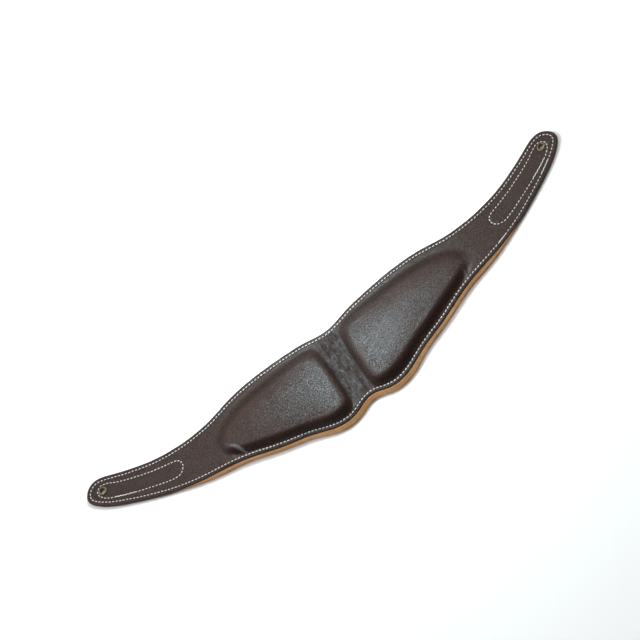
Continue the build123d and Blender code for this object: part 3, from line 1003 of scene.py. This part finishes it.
def make_front():
    rings = [0.10, 0.25, 0.45, 0.85, 1.5, 2.1, 2.5]
    pts = [respace(offset(EDGE, -r), 1.25) for r in rings]
    pts.append(SCALLOP)
    pts += [respace(offset(EDGE, -r), 1.25) for r in (3.3, 3.75, 4.5)]
    for tg in (TONGUE_C, mirrored(TONGUE_C)):
        pts += [respace(offset(tg, r), 0.95) for r in (-0.9, -0.45, 0.0, 0.45,
                                                       0.9)]
        sgn = 1 if tg[:, 0].mean() > 0 else -1
        for r, m in ((2.9, 26), (3.5, 28), (4.3, 30)):
            a = np.arange(m) * 2 * math.pi / m
            pts.append(np.c_[sgn * EYE[0] + r * np.cos(a),
                             EYE[1] + r * np.sin(a)])
    lines = np.concatenate(pts)
    fine = hexgrid(STRIP_X - 11, STRIP_X + 11, -42, 24, 0.66)
    body = hexgrid(-122, 122, -48, 32, 1.3)
    body = body[np.abs(body[:, 0] - STRIP_X) > 11.4]
    arms = hexgrid(-220, 220, -20, 48, 1.8)
    arms = arms[np.abs(arms[:, 0]) > 122.6]
    grid = []
    for g, gap in ((fine, 0.45), (body, 0.8), (arms, 1.0)):
        g = g[signed(g, EDGE) > 4.9]
        grid.append(thin_out(g, lines, gap))
    extra = np.concatenate([lines] + grid)
    extra = extra[signed(extra, EDGE) > 0.02]
    eyes = [((s * EYE[0], EYE[1]), EYE_HOLE) for s in (-1, 1)]
    for c, r in eyes:
        extra = extra[np.hypot(extra[:, 0] - c[0], extra[:, 1] - c[1]) > r + 0.2]
    co, tri = triangulate(respace(EDGE, 0.95), extra, eyes, (-CUT, CUT))
    z, d, share = front_top(co)
    x, y = co[:, 0], co[:, 1]
    # soften the moulded cushions
    zone = (share > 0).astype(float) * step(3.6, 4.6, d)
    if RISE is not None:
        z = z + sampled(RISE, co) * step(3.4, 5.0, d)
    z = relax(z, tri, zone, 6, d < 3.6)
    wr, strip = crease_lines(x, y)
    inner = step(3.2, 5.5, d)
    z += wr * inner * step(0.55, 0.05, share)
    z += folds(x, y) * step(0.2, 1.6, d)
    under = front_top(co, detail=False)[0]
    if RISE is not None:
        under = under + sampled(RISE, co) * step(3.4, 5.0, d)
    under = relax(under, tri, zone, 6, d < 3.6) - FRONT_T + 0.08
    under = np.minimum(under, z - 0.55)
    s = Shell()
    top = s.add(np.c_[co, z])
    s.tris(tri, 0)
    bot = s.add(np.c_[co, under])
    s.tris(tri[:, ::-1] + bot, 0)
    for loop in loops(tri):
        p = co[loop]
        hole = np.abs(np.hypot(np.abs(p[:, 0]) - EYE[0],
                               p[:, 1] - EYE[1]) - EYE_HOLE).max() < 0.3
        if hole:
            s.strip(loop, loop + bot, 1)
            continue
        _, place, nor, _, _ = nearest(p, EDGE)
        a, b = z[loop], under[loop]
        r1 = s.add(np.c_[place + nor * 0.06, a * 0.65 + b * 0.35])
        r2 = s.add(np.c_[place + nor * 0.03, a * 0.15 + b * 0.85])
        n = np.arange(len(loop))
        s.strip(loop, n + r1, 1)
        s.strip(n + r1, n + r2, 1)
        s.strip(n + r2, loop + bot, 1)
    c, faces, marks = s.done()
    full = lambda v, fill: np.concatenate(
        [v, v, np.full(len(c) - 2 * len(v), fill)])
    coarse = np.maximum(strip, 0.35 * step(112, 150, np.abs(x)))
    coarse = np.maximum(coarse, 0.30 * step(5.0, 3.2, d))
    # pale grey on the strip's wrinkle ridges and on the folds: partly wear, partly painted
    # sheen
    wear_and_sheen = np.clip(0.35 + wr * 2.2, 0, 1) * strip * step(0.4, 0.0, share) \
        + np.clip(folds(x, y) * 2.4, 0, 1)
    # painted shade for the cushions' steep sides, which darkens their base colour
    painted_wall_shade = np.clip(4.4 * share * (1 - share), 0, 1)
    painted_wall_shade = painted_wall_shade * (1 - 0.5 * step(60, 108, np.abs(x))) \
        * (1 - 0.5 * step(21, 12, np.abs(x - STRIP_X)))
    values = {"coarse": full(coarse, 0.3), "wear_and_sheen": full(wear_and_sheen, 0.0),
              "strip": full(strip * step(0.5, 0.1, share), 0.0),
              "painted_wall_shade": full(painted_wall_shade, 0.0)}
    return three_pieces("front_cover", c, faces, marks, [M_FRONT, M_CUT],
                        values, sharp_marks=(1,))


# ---------------------------------------------------------------------------
# back leather
# ---------------------------------------------------------------------------
BACK_IN = 1.8


def bulge(p):
    """How far the turned-up side swells outwards."""
    x = np.abs(p[:, 0])
    pad = 1 - step(118, 160, x)
    low = step(6, -12, p[:, 1])
    centre = 1 - step(34, 62, x)
    arm_root = np.exp(-((x - 132) / 16) ** 2)
    return pad * (0.35 + low * (0.45 + 1.15 * centre + 0.35 * arm_root))


def make_back():
    base = offset(EDGE, -BACK_IN)
    pts = [respace(offset(EDGE, -r), 1.4) for r in (2.3,)]
    pts.append(respace(offset(EDGE, -SEAM), 0.95))
    pts += [respace(offset(EDGE, -r), 1.5) for r in (3.5, 4.3)]
    for tg in (TONGUE_C, mirrored(TONGUE_C)):
        pts += [respace(offset(tg, r), 0.95) for r in (-0.6, 0.0, 0.6)]
    lines = np.concatenate(pts)
    grid = []
    for g, gap in ((hexgrid(-12, 12, -42, 24, 1.4), 0.9),
                   (hexgrid(-220, 220, -48, 48, 2.4), 1.3)):
        if gap > 1:
            g = g[np.abs(g[:, 0]) > 12.8]
        g = g[signed(g, EDGE) > 5.4]
        grid.append(thin_out(g, lines, gap))
    extra = np.concatenate([lines] + grid)
    eyes = [((s * EYE[0], EYE[1]), EYE_HOLE) for s in (-1, 1)]
    for c, r in eyes:
        dist = np.hypot(extra[:, 0] - c[0], extra[:, 1] - c[1])
        extra = extra[dist > 4.6]
        for rr, m in ((3.1, 28), (3.72, 30), (3.9, 30), (4.4, 32)):
            a = np.arange(m) * 2 * math.pi / m
            extra = np.vstack([extra, np.c_[c[0] + rr * np.cos(a),
                                            c[1] + rr * np.sin(a)]])
    co, tri = triangulate(respace(base, 1.0), extra, eyes, (-CUT, CUT))
    d = signed(co, EDGE)
    x, y = co[:, 0], co[:, 1]
    groove = 0.34 * np.exp(-((d - SEAM) / 0.55) ** 2)
    ax = np.c_[np.abs(x), y]
    st = signed(ax, TONGUE_C)
    groove += 0.34 * np.exp(-(st / 0.55) ** 2)
    re = np.hypot(ax[:, 0] - EYE[0], y - EYE[1])
    well = 0.70 * (1 - step(3.75, 3.95, re))
    swell = 0.10 * step(6, 16, d) * (vnoise(x / 12, y / 12, 31) + 1) * 0.5
    outer = np.maximum.reduce([groove, well, swell])
    inner = 1.4 + 0.56 * step(142, 150, np.abs(x))
    inner = np.minimum(inner, edge_z(x) - 0.06)
    s = Shell()
    s.add(np.c_[co, outer])
    s.tris(tri[:, ::-1], 0)
    up = s.add(np.c_[co, inner])
    s.tris(tri + up, 0)
    extra_values = []
    for loop in loops(tri):
        p = co[loop]
        hole = np.abs(np.hypot(np.abs(p[:, 0]) - EYE[0],
                               p[:, 1] - EYE[1]) - EYE_HOLE).max() < 0.3
        if hole:
            s.strip(loop + up, loop, 0)
            continue
        _, place, nor, _, _ = nearest(p, EDGE)
        h = edge_z(place[:, 0])
        k = np.clip((h - ARM_EDGE) / (PAD_EDGE - ARM_EDGE), 0, 1)
        b = bulge(place)
        lip = k * step(6, -12, place[:, 1])
        h = h - 0.80 * turned_down(place[:, 0], place[:, 1])
        rows = [
            (-(0.45 + 0.75 * k), 0.02 + 0.10 * k),
            (-(0.12 + 0.35 * k), 0.22 + 0.42 * k),
            (0.02 + 0.55 * b, 0.30 * h + 0.15),
            (0.03 + 0.95 * b, 0.48 * h),
            (0.03 + 0.95 * b, 0.66 * h),
            (0.00 + 0.62 * b, 0.83 * h),
            (0.02 + 0.34 * b, 0.94 * h),
            (0.06 + 0.26 * b * lip, h + 0.30 * lip),
            (0.12 + 0.14 * b * lip, h - 0.01 + 0.85 * lip),
            (0.10 + 0.0 * b, h - 0.015 + 0.90 * lip),
            (0.085 + 0.0 * b, h - 0.02 + 0.06 * lip),
            (-0.30 + 0.0 * b, h - 0.02),
            (-1.50 + 0.0 * b, h - 0.02),
            (-1.65 + 0.0 * b, h * 0.5 + inner[loop] * 0.5),
        ]
        wob = 0.10 * k * vnoise(place[:, 0] / 9, place[:, 1] / 9, 33)
        last = loop
        n = np.arange(len(loop))
        for i, (o, z) in enumerate(rows):
            o = np.broadcast_to(o, h.shape) + (wob if 2 <= i <= 5 else 0)
            z = np.broadcast_to(z, h.shape)
            r = s.add(np.c_[place + nor * o[:, None], z])
            s.strip(n + r, last, 0)
            last = n + r
        s.strip(loop + up, last, 0)
    c, faces, marks = s.done()
    dd = signed(c[:, :2], EDGE)
    dark = step(146, 168, np.abs(c[:, 0])) * step(0.6, 0.2, dd)
    return three_pieces("back_cover", c, faces, marks, [M_BACK],
                        {"edge_dark": dark})


# ---------------------------------------------------------------------------
# foam inside
# ---------------------------------------------------------------------------
def slab(name, edge, extra, top, bottom, cuts=()):
    co, tri = triangulate(edge, extra, (), cuts)
    s = Shell()
    s.add(np.c_[co, bottom(co)])
    s.tris(tri[:, ::-1], 0)
    up = s.add(np.c_[co, top(co)])
    s.tris(tri + up, 0)
    for loop in loops(tri):
        p = co[loop]
        mid = s.add(np.c_[p + normals(p) * 0.25,
                          (bottom(p) + top(p)) / 2])
        n = np.arange(len(loop))
        s.strip(n + mid, loop, 0)
        s.strip(loop + up, n + mid, 0)
    return s.done()


def make_base_foam():
    line = offset(EDGE, -2.3)
    keep = []
    for x0 in (1,):
        keep = line[np.abs(line[:, 0]) < 152.0]
    # close the strip with straight ends across the arms
    right = keep[keep[:, 0] > 0]
    line = keep
    g = hexgrid(-150, 150, -48, 32, 2.6)
    g = np.vstack([g[np.abs(g[:, 0]) > 10], hexgrid(-10, 10, -48, 32, 1.5)])
    ang = np.argsort(np.arctan2(line[:, 1], line[:, 0]))
    line = respace(line[ang] if False else line, 1.6)
    g = g[signed(g, line) > 1.4]
    g = g[np.abs(np.abs(g[:, 0]) - CUT) > 0.4]

    def low(p):
        return 1.45 + 0.62 * step(138, 146, np.abs(p[:, 0]))

    def high(p):
        return np.maximum(edge_z(p[:, 0]) - 0.10, low(p) + 0.12)

    c, faces, marks = slab("base_foam", line, g, high, low, (-CUT, CUT))
    return three_pieces("base_foam", c, faces, marks, [M_FOAM], {})


def make_cushions():
    out = []
    for tag, side in (("left", -1), ("right", 1)):
        foot = offset(FOOT_C[tag], -1.7)
        foot = foot if side > 0 else mirrored(foot)
        g = hexgrid(-120, 120, -46, 28, 2.0)
        g = g[signed(g, foot) > 1.0]

        def high(p):
            z = front_top(p, detail=False)[0] - FRONT_T - 0.15
            return np.maximum(z, 5.9)

        def low(p):
            return np.full(len(p), PAD_EDGE + 0.02)

        c, faces, marks = slab("cushion", respace(foot, 1.2), g, high, low)
        out.append(mesh_object(f"cushion_foam_{tag}", c, faces, marks,
                               [M_FOAM]))
    return out


# ---------------------------------------------------------------------------
# stitches
# ---------------------------------------------------------------------------
RNG = np.random.default_rng(7)


def stitch_mesh(ends_a, ends_b, height, up, radius=0.34, slant=0.09,
                sink=0.42):
    """One bent thread per stitch, from needle hole a to needle hole b. height
    gives the leather's surface under a point; up is +1 on the front and -1 on
    the back."""
    n = len(ends_a)
    t = np.array([0.0, 0.07, 0.2, 0.42, 0.65, 0.84, 0.95, 1.0])
    lift = np.array([-1.0, -0.1, 0.62, 0.95, 0.92, 0.55, -0.15, -1.0])
    thick = np.array([0.75, 0.9, 1.0, 1.04, 1.03, 0.98, 0.88, 0.75])
    ab = ends_b - ends_a
    length = np.linalg.norm(ab, axis=1)[:, None]
    along = ab / length
    side = np.c_[-along[:, 1], along[:, 0]]
    base = height((ends_a + ends_b) / 2)
    jitter = RNG.normal(0, 1, (n, 3))
    m = 8
    co, tw, sh = [], [], []
    ph = np.arange(m) * 2 * math.pi / m
    for k in range(len(t)):
        c = (ends_a + ab * (0.19 + 0.62 * t[k])
             + side * (slant * (t[k] - 0.5) * 2
                       + 0.04 * jitter[:, :1]) * up)
        z = np.where(lift[k] > 0, lift[k] * radius * 0.72
                     * (1 + 0.10 * jitter[:, 1]), lift[k] * sink)
        z = base + up * z
        rr = radius * thick[k] * (1 + 0.05 * jitter[:, 2])
        for j in range(m):
            off = side * (np.cos(ph[j]) * rr)[:, None]
            co.append(np.c_[c + off, z + up * np.sin(ph[j]) * rr * 0.82])
            tw.append(t[k] * 3.0 + ph[j] / (2 * math.pi) * 2.0
                      + jitter[:, 0] * 0.3)
            sh.append(np.clip(0.35 + 0.28 * jitter[:, 2], 0, 1))
    co = np.stack(co, 1)                          # stitch, ring*m, 3
    tw, sh = np.stack(tw, 1), np.stack(sh, 1)
    faces = []
    rings = len(t)
    one = []
    for k in range(rings - 1):
        for j in range(m):
            a, b = k * m + j, k * m + (j + 1) % m
            one.append((a, b, b + m, a + m))
    one.append(tuple(range(m))[::-1])
    one.append(tuple((rings - 1) * m + j for j in range(m)))
    if up < 0:
        one = [f[::-1] for f in one]
    per = rings * m
    for i in range(n):
        faces += [tuple(v + i * per for v in f) for f in one]
    return co.reshape(-1, 3), faces, tw.ravel(), sh.ravel()


def join_stitches(parts):
    co, faces, tw, sh = [], [], [], []
    n = 0
    for c, f, t, s in parts:
        co.append(c)
        faces += [tuple(v + n for v in face) for face in f]
        tw.append(t)
        sh.append(s)
        n += len(c)
    return (np.concatenate(co), faces, np.concatenate(tw),
            np.concatenate(sh))


def front_height(p):
    z = front_top(p, detail=False)[0]
    return z - 0.36


def arm_height(p):
    z = front_top(p, detail=False)[0]
    return z - 0.24


def back_height(p):
    return np.full(len(p), 0.36)


def thread_object(name, parts):
    co, faces, tw, sh = join_stitches(parts)
    co[:, 2] = np.maximum(co[:, 2], 0.02)
    return mesh_object(name, co, faces, [0] * len(faces), [M_THREAD],
                       {"twist": tw, "shade": sh})


def backtack(holes, first, last, shift):
    """Second pass over a few stitches, as a seam's start and end have."""
    idx = [i % len(holes) for i in range(first, last)]
    a = holes[idx]
    b = holes[[(i + 1) % len(holes) for i in idx]]
    ab = b - a
    side = np.c_[-ab[:, 1], ab[:, 0]] / np.linalg.norm(ab, axis=1)[:, None]
    return (a + ab * 0.45 + side * shift, b + ab * 0.45 + side * shift)


def make_threads():
    a, b = edge_holes, np.roll(edge_holes, -1, axis=0)
    mid = (a + b)[:, 0] / 2
    out = {}
    for tag, keep in (("left", mid < -CUT), ("middle", np.abs(mid) <= CUT),
                      ("right", mid > CUT)):
        parts = [stitch_mesh(a[keep], b[keep], front_height, 1),
                 stitch_mesh(a[keep], b[keep], back_height, -1, 0.26,
                             sink=0.3)]
        # the seam closes with a short overlap on the right arm
        if tag == "right":
            near = np.argsort(np.hypot(a[:, 0] - 198.6, a[:, 1] - 20.0))[0]
            p, q = backtack(edge_holes, near - 2, near + 2, 0.18)
            parts.append(stitch_mesh(p, q, lambda v: front_height(v) + 0.16, 1))
            near = np.argsort(np.hypot(a[:, 0] - 141.0, a[:, 1] + 6.0))[0]
            p, q = backtack(edge_holes, near - 1, near + 2, -0.16)
            parts.append(stitch_mesh(p, q, lambda v: front_height(v) + 0.16, 1))
        out[tag] = thread_object(f"edge_thread_{tag}", parts)
    for tag in ("left", "right"):
        h = tongue_holes[tag]
        parts = [stitch_mesh(h, np.roll(h, -1, axis=0), arm_height, 1),
                 stitch_mesh(h, np.roll(h, -1, axis=0), back_height, -1, 0.26,
                             sink=0.3)]
        sgn = 1 if tag == "right" else -1
        near = np.argsort(np.hypot(h[:, 0] - sgn * 195.0, h[:, 1] - 22.4))[0]
        p, q = backtack(h, near - 3, near + 3, 0.22)
        parts.append(stitch_mesh(p, q, lambda v: arm_height(v) + 0.18, 1))
        out["tongue_" + tag] = thread_object(f"tongue_thread_{tag}", parts)
    return out


# ---------------------------------------------------------------------------
# eyelets
# ---------------------------------------------------------------------------
def lathe(name, profile, centre, material_, segments=56):
    """Closed ring turned about a vertical axis."""
    p = np.array(profile, float)
    n = len(p)
    co, faces = [], []
    for k in range(segments):
        a = 2 * math.pi * k / segments
        co.append(np.c_[centre[0] + p[:, 0] * math.cos(a),
                        centre[1] + p[:, 0] * math.sin(a), p[:, 1]])
    co = np.concatenate(co)
    for k in range(segments):
        k2 = (k + 1) % segments
        for i in range(n):
            j = (i + 1) % n
            faces.append((k * n + i, k2 * n + i, k2 * n + j, k * n + j))
    nor = vertex_normals(co, faces)
    out = co.mean(0)
    # outward check on one vertex far from the axis
    far = np.argmax(np.hypot(co[:, 0] - centre[0], co[:, 1] - centre[1]))
    radial = np.array([co[far, 0] - centre[0], co[far, 1] - centre[1], 0])
    if nor[far] @ radial < 0:
        faces = [f[::-1] for f in faces]
    return mesh_object(name, co, faces, [0] * len(faces), [material_])


def arc(cx, cz, r, a0, a1, n, rz=None):
    t = np.radians(np.linspace(a0, a1, n))
    return [(cx + r * math.cos(v), cz + (rz or r) * math.sin(v)) for v in t]


def make_eyelets():
    out = {}
    top = ARM_EDGE + FRONT_T
    for tag, s in (("left", -1), ("right", 1)):
        c = (s * EYE[0], EYE[1])
        prof = []
        prof += [(2.16, 0.35), (2.16, top - 0.15)]
        prof += arc(2.72, top - 0.02, 0.56, 180, 90, 7, 0.60)[1:]
        prof += arc(2.84, top - 0.02, 0.56, 90, -10, 9, 0.60)
        prof += [(3.10, top - 0.28), (2.52, top - 0.32), (2.46, 0.42)]
        prof += [(2.60, 0.34), (3.00, 0.30), (3.05, 0.18)]
        prof += arc(2.62, 0.26, 0.40, -20, -170, 8, 0.25)
        prof += [(2.18, 0.26)]
        out["eyelet_" + tag] = lathe(f"eyelet_ring_{tag}", prof, c, M_BRASS)
        w = [(2.54, 0.32)] + [(3.62, 0.32)] + arc(3.62, 0.44, 0.08, -60, 60, 4,
                                                  0.12) + [(3.60, 0.62),
                                                           (2.54, 0.66)]
        out["eyelet_washer_" + tag] = lathe(f"washer_ring_{tag}", w, c,
                                            M_BRASS)
    return out


# ---------------------------------------------------------------------------
# build
# ---------------------------------------------------------------------------
front = make_front()
back = make_back()
foam = make_base_foam()
cushions = make_cushions()
threads = make_threads()
eyelets = make_eyelets()


def bend(piece, tag):
    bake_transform(piece)


for sheets, nodes, slot in ((front, "front_cover", "front_leather"),
                            (back, "back_cover", "back_leather"),
                            (foam, "base_foam", "foam")):
    for piece, tag in zip(sheets, ("left", "middle", "right")):
        bend(piece, tag)
        if tag == "middle":
            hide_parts(nodes + "_left_pad", nodes + "_right_pad")
        else:
            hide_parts(f"{nodes}_{tag}_arm")
for piece, tag in zip(cushions, ("left", "right")):
    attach(piece, tag + "_pad")
    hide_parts("cushion_" + tag)
for tag in ("left", "middle", "right"):
    piece = threads[tag]
    bend(piece, tag)
    if tag == "middle":
        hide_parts("edge_stitching_left_pad", "edge_stitching_right_pad")
    else:
        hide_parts(f"edge_stitching_{tag}_arm")
for tag in ("left", "right"):
    piece = threads["tongue_" + tag]
    bend(piece, tag)
    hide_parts("tongue_stitching_" + tag)
    for kind in ("eyelet_", "eyelet_washer_"):
        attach(eyelets[kind + tag], tag + "_arm")
        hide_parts(kind + tag)
    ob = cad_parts["stiffener_" + tag]
    for k in range(len(ob.material_slots)):
        ob.material_slots[k].material = M_WEB

# ---------------------------------------------------------------------------
# stage, light, camera
# ---------------------------------------------------------------------------
floor_me = bpy.data.meshes.new("floor")
floor_me.from_pydata([(-6, -6, 0), (6, -6, 0), (6, 6, 0), (-6, 6, 0)], [],
                     [(0, 1, 2, 3)])
floor = bpy.data.objects.new("floor", floor_me)
bpy.context.scene.collection.objects.link(floor)
fm, fnt, fsh = material("pale_floor")
fsh.inputs["Base Color"].default_value = (0.97, 0.97, 0.97, 1)
fsh.inputs["Roughness"].default_value = 0.9
fsh.inputs["Specular IOR Level"].default_value = 0.1
floor_me.materials.append(fm)

world = bpy.data.worlds.new("studio")
bpy.context.scene.world = world
world.use_nodes = True
bg = world.node_tree.nodes["Background"]
bg.inputs["Color"].default_value = (1.0, 1.0, 1.0, 1)
bg.inputs["Strength"].default_value = 0.09


def area(name, place, aim, size, power, colour=(1, 1, 1)):
    li = bpy.data.lights.new(name, "AREA")
    li.shape = "RECTANGLE"
    li.size, li.size_y = size
    li.energy = power
    li.color = colour
    ob = bpy.data.objects.new(name, li)
    bpy.context.scene.collection.objects.link(ob)
    ob.location = place
    ob.visible_camera = False
    ob.rotation_euler = (Vector(place) - Vector(aim)).to_track_quat(
        "Z", "Y").to_euler()
    return ob


area("key", (-0.009, 0.102, 0.218), (0.020, -0.014, 0.012), (0.045, 0.11),
     0.76, (0.68, 0.92, 1.0))
area("left", (-1.6, 0.6, 1.5), (0, 0, 0), (1.2, 1.2), 17.0)
area("right", (1.6, 0.7, 1.5), (0, 0, 0), (1.2, 1.2), 17.0)
area("overhead", (-0.18, 0.76, 1.30), (0, 0, 0), (3.2, 2.8), 27.0,
     (1.0, 0.985, 0.965))

R = Vector((0.7806, -0.4847, -0.3951))
U = Vector((0.6132, 0.7171, 0.3317))
B = Vector((0.1225, -0.5012, 0.8570))
B.normalize()
R = (R - B * R.dot(B)).normalized()
U = B.cross(R)
cam_data = bpy.data.cameras.new("camera")
cam_data.sensor_width = 36.0
cam_data.lens = 250.0
cam_data.clip_end = 50.0
cam = bpy.data.objects.new("camera", cam_data)
bpy.context.scene.collection.objects.link(cam)
target = Vector((0, 0.00708, 0.005)) + R * -0.01336 + U * 0.02009
dist = 0.46705 * cam_data.lens / cam_data.sensor_width
mw = Matrix((R, U, B)).transposed().to_4x4()
mw.translation = target + B * dist
cam.matrix_world = mw
bpy.context.scene.camera = cam
bpy.context.scene.view_settings.view_transform = "Standard"
